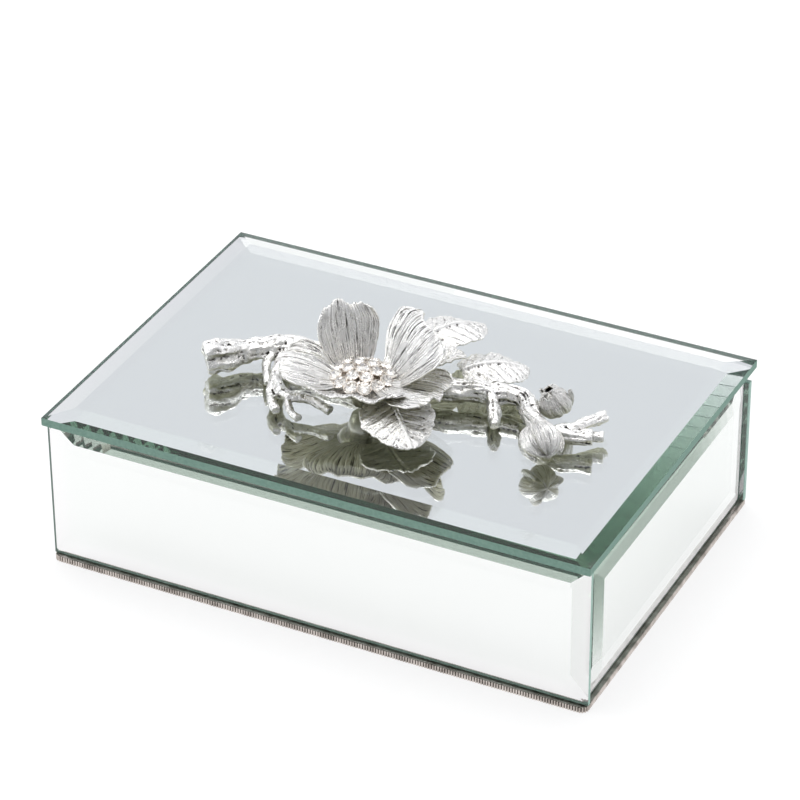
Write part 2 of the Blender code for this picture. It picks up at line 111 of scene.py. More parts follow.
FLOOR_HALF = 8.0
FLOOR_GLOW = 0.74
TO_FRONT = (0.45, -0.89, 0)
FADE_FROM, FADE_TO = 0.34, 0.8  # metres towards the front, all outside the picture
floor_bm = bmesh.new()
bmesh.ops.create_grid(floor_bm, x_segments=1, y_segments=1, size=FLOOR_HALF)
floor_mesh = bpy.data.meshes.new("floor")
floor_bm.to_mesh(floor_mesh)
floor_bm.free()
paper, tree, shader = surface("matt_white_paper", Roughness=0.9, Specular_IOR_Level=0.1)
shader.inputs["Emission Color"].default_value = (1, 1, 1, 1)
place = add(tree, "ShaderNodeTexCoord").outputs["Object"]
ahead = add(tree, "ShaderNodeVectorMath", {1: TO_FRONT}, {0: place}, operation="DOT_PRODUCT")
# Painted shade: from FADE_FROM to FADE_TO towards the front, the paper's colour and glow drop to 0.3 of full,
# as if the table's front edge lay in shadow.
front_shade_range = {"From Min": FADE_FROM, "From Max": FADE_TO, "To Min": 1.0, "To Max": 0.3}
shade = add(tree, "ShaderNodeMapRange", front_shade_range, {"Value": ahead.outputs["Value"]}).outputs["Result"]
shaded_white = add(
    tree, "ShaderNodeVectorMath", {0: colour("959595")[:3]}, {"Scale": shade}, operation="SCALE"
).outputs["Vector"]
glow = add(tree, "ShaderNodeMath", {1: FLOOR_GLOW}, {0: shade}, operation="MULTIPLY").outputs[0]
tree.links.new(shaded_white, shader.inputs["Base Color"])
tree.links.new(glow, shader.inputs["Emission Strength"])
floor_mesh.materials.append(paper)
floor = bpy.data.objects.new("floor", floor_mesh)
scene.collection.objects.link(floor)

TO_DARK_SCREEN = (0.40, -0.80, 0.40)
world = bpy.data.worlds.new("studio")
scene.world = world
world.use_nodes = True
sky = world.node_tree
direction = add(sky, "ShaderNodeTexCoord").outputs["Generated"]
axes = add(sky, "ShaderNodeSeparateXYZ", links={"Vector": direction}).outputs
wall_shade = add(
    sky,
    "ShaderNodeValToRGB",
    links={"Fac": axes["Z"]},
    stops=[
        (0.0, (1.25, 1.25, 1.25, 1)),
        (0.22, (0.95, 0.97, 0.99, 1)),
        (0.34, (0.83, 0.85, 0.90, 1)),
        (0.62, (0.76, 0.77, 0.82, 1)),
        (0.80, (1.15, 1.15, 1.15, 1)),
        (1.0, (1.4, 1.4, 1.4, 1)),
    ],
).outputs["Color"]
toward = add(
    sky, "ShaderNodeVectorMath", {1: TO_DARK_SCREEN}, {0: direction}, operation="DOT_PRODUCT"
).outputs["Value"]
screen = add(
    sky,
    "ShaderNodeValToRGB",
    links={"Fac": toward},
    stops=[(0.50, (1, 1, 1, 1)), (0.72, (0.52, 0.52, 0.52, 1)), (1.0, (0.44, 0.44, 0.44, 1))],
).outputs["Color"]
wall_shade = add(
    sky, "ShaderNodeVectorMath", links={0: wall_shade, 1: screen}, operation="MULTIPLY"
).outputs["Vector"]
sky.nodes["Background"].inputs["Strength"].default_value = 1.0
sky.links.new(wall_shade, sky.nodes["Background"].inputs["Color"])


def softbox(name, place, size, power):
    """A square soft light aimed at the box."""
    lamp = bpy.data.lights.new(name, "AREA")
    lamp.shape = "SQUARE"
    lamp.size = size
    lamp.energy = power
    holder = bpy.data.objects.new(name, lamp)
    holder.location = place
    holder.rotation_euler = (Vector((0, 0, 0.06)) - Vector(place)).to_track_quat("-Z", "Y").to_euler()
    scene.collection.objects.link(holder)


softbox("overhead_softbox", (-0.3, 0.4, 2.2), 1.2, 14)
softbox("left_softbox", (-1.6, -0.6, 1.1), 0.7, 5)


def piece(name, bm, body, *materials, smooth=True):
    """Turns a bmesh into a named piece that rides on a body."""
    mesh = bpy.data.meshes.new(name)
    for face in bm.faces:
        face.smooth = smooth
    bm.to_mesh(mesh)
    bm.free()
    made = bpy.data.objects.new(name, mesh)
    scene.collection.objects.link(made)
    for material in materials:
        mesh.materials.append(material)
    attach(made, body)
    return made


# Reeded foot strip. A soft white-metal strip with an upright coin-edge reeding, silver plated and
# antiqued so that the grooves are dark, bent round the foot of the box and pinned from below.
REED_PITCH = 1.05 * MM
REED_R = 0.39 * MM
STRIP_CORNER = 3.0 * MM
STRIP_WIDTH = 5.4 * MM
# Silver plate worn on the ribs: bright, slightly brushed, with warmer stains about 4 mm apart.
pewter, tree, shader = surface("antiqued_silver_plate_reeded", Metallic=1.0, Roughness=0.34)
place = add(tree, "ShaderNodeTexCoord").outputs["Object"]
stain = add(tree, "ShaderNodeTexNoise", {"Scale": 260.0, "Detail": 4.0}, {"Vector": place}).outputs["Fac"]
tone = add(
    tree,
    "ShaderNodeValToRGB",
    links={"Fac": stain},
    stops=[(0.3, colour("A9A099")), (0.62, colour("E0D8D2"))],
).outputs["Color"]
tree.links.new(tone, shader.inputs["Base Color"])
# Dark antiquing that stays between the ribs and makes them read as separate lines.
groove_black, tree, shader = surface("antiquing_in_the_grooves", Metallic=0.3, Roughness=0.7)
place = add(tree, "ShaderNodeTexCoord").outputs["Object"]
soot = add(tree, "ShaderNodeTexNoise", {"Scale": 400.0, "Detail": 4.0}, {"Vector": place}).outputs["Fac"]
tone = add(
    tree, "ShaderNodeValToRGB", links={"Fac": soot}, stops=[(0.3, colour("2C2826")), (0.7, colour("4A4440"))]
).outputs["Color"]
tree.links.new(tone, shader.inputs["Base Color"])
low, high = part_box("base_rim")
strip_bm = bmesh.new()
bmesh.ops.create_cube(strip_bm, size=1)
span = high - low - Vector((REED_R * 2.2, REED_R * 2.2, 0.3 * MM))
bmesh.ops.transform(
    strip_bm, matrix=Matrix.Translation((low + high) / 2) @ Matrix.Diagonal((*span, 1)), verts=strip_bm.verts
)
upright = [e for e in strip_bm.edges if abs(e.verts[0].co.z - e.verts[1].co.z) > MM]
bmesh.ops.bevel(
    strip_bm, geom=upright, offset=STRIP_CORNER, affect="EDGES", segments=8, profile=0.5, material=-1
)
ends = [f for f in strip_bm.faces if abs(f.normal.z) > 0.9]
bmesh.ops.inset_individual(strip_bm, faces=ends, thickness=STRIP_WIDTH)["faces"]
inner = [f for f in ends if f.is_valid]
loops = [[e for e in f.edges] for f in inner]
bmesh.ops.delete(strip_bm, geom=inner, context="FACES_ONLY")
bmesh.ops.bridge_loops(strip_bm, edges=loops[0] + loops[1])
bmesh.ops.recalc_face_normals(strip_bm, faces=strip_bm.faces)


def walk_rounded(half_x, half_y, corner, pitch):
    """Points and outward angles at an even pitch round a rounded rectangle."""
    sides = [
        (Vector((half_x - corner, -half_y)), Vector((-half_x + corner, -half_y)), -90),
        (Vector((-half_x, -half_y + corner)), Vector((-half_x, half_y - corner)), 180),
        (Vector((-half_x + corner, half_y)), Vector((half_x - corner, half_y)), 90),
        (Vector((half_x, half_y - corner)), Vector((half_x, -half_y + corner)), 0),
    ]
    for start, end, facing in sides:
        count = max(1, round((end - start).length / pitch))
        for i in range(count):
            yield start.lerp(end, (i + 0.5) / count), math.radians(facing)
        arc = round(corner * math.pi / 2 / pitch)
        centre = end - corner * Vector((math.cos(math.radians(facing)), math.sin(math.radians(facing))))
        for i in range(arc):
            angle = math.radians(facing - 90 * (i + 0.5) / arc)
            yield centre + corner * Vector((math.cos(angle), math.sin(angle))), angle


reed_height = high.z - low.z - 0.1 * MM
strip_mid = (low.z + high.z) / 2
for face in strip_bm.faces:
    face.material_index = 0 if abs(face.normal.z) > 0.5 else 1
reed_bm = bmesh.new()
bmesh.ops.create_cone(reed_bm, cap_ends=True, segments=10, radius1=REED_R, radius2=REED_R, depth=reed_height)
reed = bpy.data.meshes.new("reed")
reed_bm.to_mesh(reed)
reed_bm.free()
for spot, facing in walk_rounded(high.x - REED_R, high.y - REED_R, STRIP_CORNER - REED_R, REED_PITCH):
    stand = Matrix.Translation((spot.x, spot.y, strip_mid)) @ Matrix.Rotation(facing, 4, "Z")
    reed.transform(stand)
    strip_bm.from_mesh(reed)
    reed.transform(stand.inverted())
bpy.data.meshes.remove(reed)
strip = piece("reeded_strip", strip_bm, "base", pewter, groove_black, smooth=False)
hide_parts("base_rim")


# Felt foot pad. Pressed charcoal wool felt, die cut and glued under the bottom board.
# Matt and dark, with a short nap; its flecks are about a millimetre apart, coarser than real fibres.
felt_cloth, tree, shader = surface("pressed_wool_felt", Roughness=0.95, Sheen_Weight=0.4, Sheen_Roughness=0.6)
place = add(tree, "ShaderNodeTexCoord").outputs["Object"]
fibre = add(tree, "ShaderNodeTexNoise", {"Scale": 900.0, "Detail": 6.0}, {"Vector": place}).outputs["Fac"]
tone = add(
    tree,
    "ShaderNodeValToRGB",
    links={"Fac": fibre},
    stops=[(0.35, colour("26262A")), (0.7, colour("3E3E44"))],
).outputs["Color"]
relief = add(
    tree, "ShaderNodeBump", {"Strength": 0.6, "Distance": 0.0004}, {"Height": fibre}
).outputs["Normal"]
tree.links.new(tone, shader.inputs["Base Color"])
tree.links.new(relief, shader.inputs["Normal"])


def soft_block(node, round_off, crown, inward, rows=24):
    """A block with rounded edges in a CAD node's box, with one face crowned along the given direction."""
    low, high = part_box(node)
    size = high - low
    bm = bmesh.new()
    bmesh.ops.create_cube(bm, size=1)
    bmesh.ops.scale(bm, vec=size, verts=bm.verts)
    corners = bm.edges[:]
    bmesh.ops.bevel(bm, geom=corners, offset=round_off, affect="EDGES", segments=3, profile=0.5, material=-1)
    for axis in range(3):
        if size[axis] < 6 * MM:
            continue
        cuts = max(2, int(rows * size[axis] / max(size)))
        long = [e for e in bm.edges if abs((e.verts[0].co - e.verts[1].co)[axis]) > size[axis] / 2]
        bmesh.ops.subdivide_edges(bm, edges=long, cuts=cuts, use_grid_fill=True)
    inward = Vector(inward)
    for vert in bm.verts:
        if vert.co.dot(inward) < 0:
            continue
        swell = 1.0
        for axis in range(3):
            if abs(inward[axis]) > 0.5:
                continue
            edge = min(1, (size[axis] / 2 - abs(vert.co[axis])) / (9 * MM))
            swell *= math.sin(max(0, edge) * math.pi / 2)
        ripple = 0.12 * MM * noise.noise(vert.co * 90)
        vert.co += inward * swell * (crown + ripple)
    bmesh.ops.translate(bm, vec=(low + high) / 2, verts=bm.verts)
    return bm


felt = piece("felt_foot", soft_block("felt_pad", 0.4 * MM, 0.0, (0, 0, 1)), "base", felt_cloth)
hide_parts("felt_pad")


# Carcass boards. Medium-density fibreboard, sawn and sealed, butt-jointed and glued; the same sheet
# makes the board under the lid mirror. Fine fibre flecks show on faces and cut edges.
# Matt brown with flecks about 1.4 mm apart and broad cloudy patches.
fibreboard, tree, shader = surface("sealed_fibreboard", Roughness=0.62)
place = add(tree, "ShaderNodeTexCoord").outputs["Object"]
fleck = add(
    tree, "ShaderNodeTexNoise", {"Scale": 700.0, "Detail": 8.0, "Roughness": 0.7}, {"Vector": place}
).outputs["Fac"]
cloud = add(tree, "ShaderNodeTexNoise", {"Scale": 40.0, "Detail": 2.0}, {"Vector": place}).outputs["Fac"]
mixed = add(tree, "ShaderNodeMath", {1: 0.35}, {0: cloud}, operation="MULTIPLY").outputs[0]
mixed = add(tree, "ShaderNodeMath", links={0: fleck, 1: mixed}, operation="ADD").outputs[0]
tone = add(
    tree,
    "ShaderNodeValToRGB",
    links={"Fac": mixed},
    stops=[(0.45, colour("6B5137")), (0.9, colour("A98A66"))],
).outputs["Color"]
relief = add(
    tree, "ShaderNodeBump", {"Strength": 0.35, "Distance": 0.0003}, {"Height": fleck}
).outputs["Normal"]
tree.links.new(tone, shader.inputs["Base Color"])
tree.links.new(relief, shader.inputs["Normal"])
for node in ("front_board", "back_board", "left_board", "right_board", "bottom_board", "lid_board"):
    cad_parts[node].data.materials.clear()
    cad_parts[node].data.materials.append(fibreboard)


# Mirror plates. Clear float glass, faintly green through its edges, with ground and polished bevels
# on the outer face, ground edges and a silvered back; each is glued to its board. Light bends in at
# the bevels, meets the silver and comes out again, which makes the bright and the green edge bands.
# Clear when looked straight through, and greener the longer the way that light takes inside it.
clear_glass, tree, shader = surface(
    "polished_float_glass", Base_Color=(1, 1, 1, 1), Roughness=0.0, IOR=1.52, Transmission_Weight=1.0
)
tint = add(tree, "ShaderNodeVolumeAbsorption", {"Color": (0.05, 0.716, 0.326, 1), "Density": 9.5})
tree.links.new(tint.outputs["Volume"], tree.nodes["Material Output"].inputs["Volume"])
# The silver coat behind the glass: a clean, almost neutral mirror.
silvering, tree, shader = surface(
    "silvered_glass_back", Base_Color=(0.965, 0.925, 0.945, 1), Roughness=0.0, Metallic=1.0
)
# A ground edge gone dark green, because light reaches it mostly through the glass.
seam, tree, shader = surface("ground_seamed_glass_edge", Roughness=0.65)
place = add(tree, "ShaderNodeTexCoord").outputs["Object"]
grind = add(tree, "ShaderNodeTexNoise", {"Scale": 1500.0, "Detail": 2.0}, {"Vector": place}).outputs["Fac"]
tone = add(
    tree, "ShaderNodeValToRGB", links={"Fac": grind}, stops=[(0.3, colour("6A8C7F")), (0.7, colour("7FA092"))]
).outputs["Color"]
tree.links.new(tone, shader.inputs["Base Color"])


# The thinner wall plates have a frosted edge painted a paler green than the lid's. This is painted light: it
# stands in for light coming through the glass onto edges that little lamp light reaches.
wall_seam_painted_pale, tree, shader = surface("wall_glass_edge_painted_paler", Roughness=0.6)
place = add(tree, "ShaderNodeTexCoord").outputs["Object"]
grind = add(tree, "ShaderNodeTexNoise", {"Scale": 1500.0, "Detail": 2.0}, {"Vector": place}).outputs["Fac"]
tone = add(
    tree, "ShaderNodeValToRGB", links={"Fac": grind}, stops=[(0.3, colour("8FB3A6")), (0.7, colour("AECBC0"))]
)
tree.links.new(tone.outputs["Color"], shader.inputs["Base Color"])
SEAM = 0.3 * MM  # width of the small ground chamfer round the silvered face


def pane(name, node, turn, edge, bevel, body, edging):
    """A bevelled plate in a CAD node's box. Turn is None to face up, or degrees about Z from -Y."""
    low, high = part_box(node)
    size = high - low
    if turn is None:
        facing = Matrix.Identity(4)
        length, width, thick = size
    else:
        facing = Matrix.Rotation(math.radians(turn), 4, "Z") @ Matrix.Rotation(math.pi / 2, 4, "X")
        length, thick = (size.x, size.y) if turn % 180 == 0 else (size.y, size.x)
        width = size.z
    bm = bmesh.new()
    bmesh.ops.create_cube(bm, size=1)
    bmesh.ops.scale(bm, vec=(length, width, edge), verts=bm.verts)
    bmesh.ops.translate(bm, vec=(0, 0, (edge - thick) / 2), verts=bm.verts)
    outer = [f for f in bm.faces if f.normal.z > 0.9]
    bmesh.ops.inset_region(bm, faces=outer, thickness=bevel, depth=thick - edge, use_even_offset=True)
    under = [f for f in bm.faces if f.normal.z < -0.9]
    bmesh.ops.bevel(
        bm, geom=under[0].edges[:], offset=SEAM, affect="EDGES", segments=1, profile=0.5, material=-1
    )
    for face in bm.faces:
        face.material_index = 1 if face.normal.z < -0.9 else 2 if face.normal.z < 0.1 else 0
    bmesh.ops.transform(bm, matrix=Matrix.Translation((low + high) / 2) @ facing, verts=bm.verts)
    made = piece(name, bm, body, clear_glass, silvering, edging, smooth=False)
    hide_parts(node)
    return made


WALL_EDGE = 2.0 * MM
WALL_BEVEL = 9.0 * MM
pane("front_pane", "front_mirror", 0, WALL_EDGE, WALL_BEVEL, "base", wall_seam_painted_pale)
pane("right_pane", "right_mirror", 90, WALL_EDGE, WALL_BEVEL, "base", wall_seam_painted_pale)
pane("back_pane", "back_mirror", 180, WALL_EDGE, WALL_BEVEL, "base", wall_seam_painted_pale)
pane("left_pane", "left_mirror", -90, WALL_EDGE, WALL_BEVEL, "base", wall_seam_painted_pale)


# Well lining. Short-pile velvet wrapped over thin foam, one pad on the floor and one on each wall,
# pressed in with glue so that the edges roll over softly.
# A soft grey with a pale sheen at grazing angles, and strokes about 20 mm across in the pile.
velvet, tree, shader = surface("short_pile_velvet", Roughness=0.85, Sheen_Weight=0.9, Sheen_Roughness=0.35)
shader.inputs["Sheen Tint"].default_value = colour("F2EFEA")
place = add(tree, "ShaderNodeTexCoord").outputs["Object"]
pile = add(tree, "ShaderNodeTexNoise", {"Scale": 1400.0, "Detail": 3.0}, {"Vector": place}).outputs["Fac"]
stroke = add(tree, "ShaderNodeTexNoise", {"Scale": 45.0, "Detail": 3.0}, {"Vector": place}).outputs["Fac"]
mixed = add(tree, "ShaderNodeMath", {1: 0.6}, {0: stroke}, operation="MULTIPLY").outputs[0]
mixed = add(tree, "ShaderNodeMath", links={0: pile, 1: mixed}, operation="ADD").outputs[0]
tone = add(
    tree,
    "ShaderNodeValToRGB",
    links={"Fac": mixed},
    stops=[(0.5, colour("8E8A86")), (1.05, colour("C9C4BD"))],
).outputs["Color"]
relief = add(
    tree, "ShaderNodeBump", {"Strength": 0.5, "Distance": 0.0003}, {"Height": mixed}
).outputs["Normal"]
tree.links.new(tone, shader.inputs["Base Color"])
tree.links.new(relief, shader.inputs["Normal"])
for name, node, inward, crown in (
    ("front_velvet", "front_lining", (0, 1, 0), 0.5 * MM),
    ("back_velvet", "back_lining", (0, -1, 0), 0.5 * MM),
    ("left_velvet", "left_lining", (1, 0, 0), 0.5 * MM),
    ("right_velvet", "right_lining", (-1, 0, 0), 0.5 * MM),
    ("floor_velvet", "floor_lining", (0, 0, 1), 1.2 * MM),
):
    pad = piece(name, soft_block(node, 0.5 * MM, crown, inward, 40), "base", velvet)
    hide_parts(node)


# Lid bumpers. Clear soft silicone plugs pressed into drilled holes; the lid lands on their domes.
# Milky and half clear, like small door buffers.
silicone, tree, shader = surface("moulded_clear_silicone", Roughness=0.35, IOR=1.41, Transmission_Weight=0.6)
place = add(tree, "ShaderNodeTexCoord").outputs["Object"]
haze = add(tree, "ShaderNodeTexNoise", {"Scale": 800.0, "Detail": 2.0}, {"Vector": place}).outputs["Fac"]
tone = add(
    tree, "ShaderNodeValToRGB", links={"Fac": haze}, stops=[(0.3, colour("DEDEDA")), (0.7, colour("F2F2EE"))]
).outputs["Color"]
tree.links.new(tone, shader.inputs["Base Color"])
for side in ("left", "right"):
    low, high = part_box(f"bumper_{side}")
    radius = (high.x - low.x) / 2
    bm = bmesh.new()
    outline = [(0, low.z), (radius, low.z), (radius, high.z - 0.9 * MM)]
    outline += [(radius * 0.92, high.z - 0.45 * MM), (radius * 0.62, high.z - 0.1 * MM), (0, high.z)]
    verts = [bm.verts.new((r, 0, z)) for r, z in outline]
    edges = [bm.edges.new(pair) for pair in zip(verts, verts[1:])]
    bmesh.ops.spin(
        bm, geom=verts + edges, cent=(0, 0, 0), axis=(0, 0, 1), angle=math.tau, steps=24, use_merge=True
    )
    bmesh.ops.remove_doubles(bm, verts=bm.verts, dist=1e-6)
    bmesh.ops.recalc_face_normals(bm, faces=bm.faces)
    bmesh.ops.translate(bm, vec=((low.x + high.x) / 2, (low.y + high.y) / 2, 0), verts=bm.verts)
    plug = piece(f"bumper_plug_{side}", bm, "base", silicone)
    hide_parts(f"bumper_{side}")


# Hinges. Stamped steel leaves rolled into three knuckles round a pin, nickel plated, with fine
# tumbling marks; each leaf is held by two countersunk screws.
# A cool bright metal with long fine marks along the leaf.
nickel, tree, shader = surface("nickel_plated_stamped_steel", Metallic=1.0)
place = add(tree, "ShaderNodeTexCoord").outputs["Object"]
along = add(tree, "ShaderNodeMapping", {"Scale": (60, 900, 900)}, {"Vector": place}).outputs["Vector"]
mark = add(tree, "ShaderNodeTexNoise", {"Scale": 1.0, "Detail": 4.0}, {"Vector": along}).outputs["Fac"]
tone = add(
    tree, "ShaderNodeValToRGB", links={"Fac": mark}, stops=[(0.3, colour("B4B2AC")), (0.7, colour("D6D4CF"))]
).outputs["Color"]
tree.links.new(tone, shader.inputs["Base Color"])
worn = add(tree, "ShaderNodeMapRange", {"To Min": 0.22, "To Max": 0.42}, {"Value": mark}).outputs["Result"]
tree.links.new(worn, shader.inputs["Roughness"])
relief = add(
    tree, "ShaderNodeBump", {"Strength": 0.15, "Distance": 0.0002}, {"Height": mark}
).outputs["Normal"]
tree.links.new(relief, shader.inputs["Normal"])
for node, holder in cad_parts.items():
    if node.startswith(("hinge_", "screw_")):
        holder.data.materials.clear()
        holder.data.materials.append(nickel)


# Lid. One thick plate with a wide bevel, glued on the lid board; behind its silver is a coat of grey
# protective paint, which shows where the plate overhangs the board.
LID_EDGE = 3.4 * MM
LID_BEVEL = 9.0 * MM
pane("lid_pane", "lid_mirror", None, LID_EDGE, LID_BEVEL, "lid", seam)
# A flat grey coat with faint specks about 2 mm apart.
back_paint, tree, shader = surface("grey_mirror_backing_paint", Roughness=0.5)
place = add(tree, "ShaderNodeTexCoord").outputs["Object"]
speck = add(tree, "ShaderNodeTexNoise", {"Scale": 500.0, "Detail": 5.0}, {"Vector": place}).outputs["Fac"]
tone = add(
    tree, "ShaderNodeValToRGB", links={"Fac": speck}, stops=[(0.3, colour("6E7376")), (0.7, colour("868B8D"))]
).outputs["Color"]
tree.links.new(tone, shader.inputs["Base Color"])
low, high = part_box("lid_mirror")
coat_bm = bmesh.new()
bmesh.ops.create_cube(coat_bm, size=1)
coat_size = (high.x - low.x - 1.2 * MM, high.y - low.y - 1.2 * MM, 0.12 * MM)
bmesh.ops.scale(coat_bm, vec=coat_size, verts=coat_bm.verts)
bmesh.ops.translate(coat_bm, vec=(0, 0, low.z - 0.10 * MM), verts=coat_bm.verts)
coat = piece("lid_backing_paint", coat_bm, "lid", back_paint, smooth=False)
lid_pad = piece("lid_velvet", soft_block("lid_lining", 0.9 * MM, 1.6 * MM, (0, 0, -1), 48), "lid", velvet)
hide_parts("lid_lining")


# Branch. Cast white metal, bright silver plated and antiqued: a knobbly limb with a sawn end, side
# twigs and forked stubs. Bark ridges run along each limb, and the dark wash stays in the hollows.
lid_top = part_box("lid_mirror")[1].z


def cast_silver(name, grain_lines, contrast):
    """Bright silver plate on a casting: grit or grain in relief, dark antiqued hollows, and painted shade on
    faces turned down, which are also a little rougher.
    """
    made, tree, shader = surface(name, Metallic=1.0)
    place = add(tree, "ShaderNodeTexCoord").outputs["Object"]
    grit = add(
        tree, "ShaderNodeTexNoise", {"Scale": 620.0, "Detail": 5.0, "Roughness": 0.6}, {"Vector": place}
    ).outputs["Fac"]
    patch = add(tree, "ShaderNodeTexNoise", {"Scale": 150.0, "Detail": 3.0}, {"Vector": place}).outputs["Fac"]
    if grain_lines:
        sheet = add(tree, "ShaderNodeUVMap", uv_map="grain").outputs["UV"]
        lines = add(
            tree, "ShaderNodeMapping", {"Scale": (*grain_lines, 1)}, {"Vector": sheet}
        ).outputs["Vector"]
        relief = add(
            tree, "ShaderNodeTexNoise", {"Scale": 1.0, "Detail": 6.0, "Roughness": 0.68}, {"Vector": lines}
        ).outputs["Fac"]
    else:
        relief = grit
    hollow = add(tree, "ShaderNodeAttribute", attribute_name="hollow").outputs["Fac"]
    uneven = add(tree, "ShaderNodeMath", {1: 0.55}, {0: relief}, operation="SUBTRACT").outputs[0]
    uneven = add(tree, "ShaderNodeMath", {1: contrast}, {0: uneven}, operation="MULTIPLY").outputs[0]
    wash = add(tree, "ShaderNodeMath", links={0: hollow, 1: uneven}, operation="SUBTRACT").outputs[0]
    tone = add(
        tree,
        "ShaderNodeValToRGB",
        links={"Fac": wash},
        stops=[
            (0.0, colour("F8F7F5")),
            (0.62, colour("F3F2F0")),
            (0.72, colour("8E8B87")),
            (0.82, colour("2E2B29")),
        ],
    ).outputs["Color"]
    # Faces turned down are multiplied by a dim olive grey: painted shade on the undersides.
    under = add(tree, "ShaderNodeAttribute", attribute_name="under").outputs["Fac"]
    underside_shaded_tone = add(
        tree,
        "ShaderNodeMix",
        {7: colour("BAB8A2")},
        {0: under, 6: tone},
        data_type="RGBA",
        blend_type="MULTIPLY",
    )
    tree.links.new(underside_shaded_tone.outputs[2], shader.inputs["Base Color"])
    worn = add(
        tree, "ShaderNodeMapRange", {"To Min": 0.12, "To Max": 0.40}, {"Value": patch}
    ).outputs["Result"]
    worn = add(tree, "ShaderNodeMath", {1: 0.08}, {0: under, 2: worn}, operation="MULTIPLY_ADD").outputs[0]
    tree.links.new(worn, shader.inputs["Roughness"])
    dents = add(
        tree, "ShaderNodeBump", {"Strength": 1.0, "Distance": 0.0007}, {"Height": relief}
    ).outputs["Normal"]
    tree.links.new(dents, shader.inputs["Normal"])
    return made


bark_silver = cast_silver("cast_bark_bright_silver_plate", None, 1.1)


def mark_hollows(made, reach=7, depth=0.16 * MM):
    """Stores how deep in a hollow each point lies and how far it faces down, for the silver's antiquing and
    its painted underside shade.
    """
    mesh = made.data
    count = len(mesh.vertices)
    points = np.empty(count * 3)
    mesh.vertices.foreach_get("co", points)
    points = points.reshape(-1, 3)
    normals = np.empty(count * 3)
    mesh.vertices.foreach_get("normal", normals)
    ends = np.empty(len(mesh.edges) * 2, np.int32)
    mesh.edges.foreach_get("vertices", ends)
    one, other = ends.reshape(-1, 2).T
    links = np.maximum(1, np.bincount(ends, minlength=count))
    relaxed = points.copy()
    for _ in range(reach):
        around = [
            np.bincount(one, relaxed[other, k], count) + np.bincount(other, relaxed[one, k], count)
            for k in range(3)
        ]
        relaxed = (relaxed + np.stack(around, 1) / links[:, None]) / 2
    depths = ((relaxed - points) * normals.reshape(-1, 3)).sum(1) / depth
    layer = mesh.attributes.new("hollow", "FLOAT", "POINT")
    layer.data.foreach_set("value", np.clip(0.45 + 0.35 * depths, 0, 1))
    # How far each point faces down: the silver darkens these points as painted shade.
    layer = mesh.attributes.new("under", "FLOAT", "POINT")
    layer.data.foreach_set("value", np.clip(0.15 - 1.6 * normals.reshape(-1, 3)[:, 2], 0, 1))


def smooth_path(points, steps):
    """A Catmull-Rom path through (x, y, height, radius) points in millimetres."""
    knots = [Vector(p) for p in points]
    knots = [2 * knots[0] - knots[1]] + knots + [2 * knots[-1] - knots[-2]]
    path = []
    for a, b, c, d in zip(knots, knots[1:], knots[2:], knots[3:]):
        for i in range(steps):
            t = i / steps
            bend = (2 * a - 5 * b + 4 * c - d) * t * t + (3 * b - 3 * c + d - a) * t**3
            path.append(0.5 * (2 * b + (c - a) * t + bend))
    return path + [knots[-2]]


def limb(bm, points, seed, swell=1.0, sides=40, steps=12):
    """Sweeps a barked tube along a path: a grid is wrapped round it and its two ends are closed."""
    path = smooth_path(points, steps)
    rows = len(path) - 1
    made = bmesh.ops.create_grid(bm, x_segments=sides, y_segments=rows, size=1)["verts"]
    spots = [p.to_3d() for p in path]
    travelled = [0]
    for a, b in zip(spots, spots[1:]):
        travelled.append(travelled[-1] + (b - a).length)
    for vert in made:
        row = min(rows, round((vert.co.y + 1) / 2 * rows))
        angle = math.pi * (vert.co.x + 1)
        ahead = (spots[min(rows, row + 1)] - spots[max(0, row - 1)]).normalized()
        side = ahead.cross(Vector((0, 0, 1))).normalized()
        over = side.cross(ahead)
        cosine, sine = math.cos(angle), math.sin(angle)
        grain = Vector((cosine * 2.6, sine * 2.6, travelled[row] * 0.09 + seed * 7.3))
        lump = Vector((cosine * 0.8, sine * 0.8, travelled[row] * 0.20 + seed * 3.1))
        ridge = 1 - 2 * abs(noise.noise(grain))
        radius = path[row][3] * swell * (0.95 + 0.26 * ridge + 0.30 * noise.noise(lump))
        vert.co = spots[row] + side * cosine * radius + over * sine * radius
    bmesh.ops.remove_doubles(bm, verts=made, dist=0.01)
    bmesh.ops.holes_fill(bm, edges=[e for e in bm.edges if e.is_boundary])


branch_bm = bmesh.new()
MAIN_LIMB = [
    (-69.0, -23.4, 5.8, 5.0),
    (-67.0, -21.8, 6.1, 6.0),
    (-63.0, -18.5, 6.0, 5.2),
    (-59.0, -13.0, 5.6, 4.0),
    (-52.0, -7.5, 5.6, 4.0),
    (-44.0, -3.5, 5.9, 4.2),
    (-33.0, -2.0, 5.4, 3.7),
    (-18.0, -3.0, 4.9, 3.7),
    (-2.0, -4.0, 4.6, 3.8),
    (16.0, -3.0, 4.6, 3.8),
    (30.0, 1.0, 4.8, 3.7),
    (42.0, 4.0, 4.6, 3.3),
    (48.0, 2.5, 4.6, 3.2),
    (54.5, -6.0, 4.4, 3.0),
    (62.0, -10.5, 4.0, 2.7),
    (70.0, -10.5, 3.8, 2.5),
    (78.5, -7.5, 4.2, 2.7),
]
limb(branch_bm, MAIN_LIMB, 1)
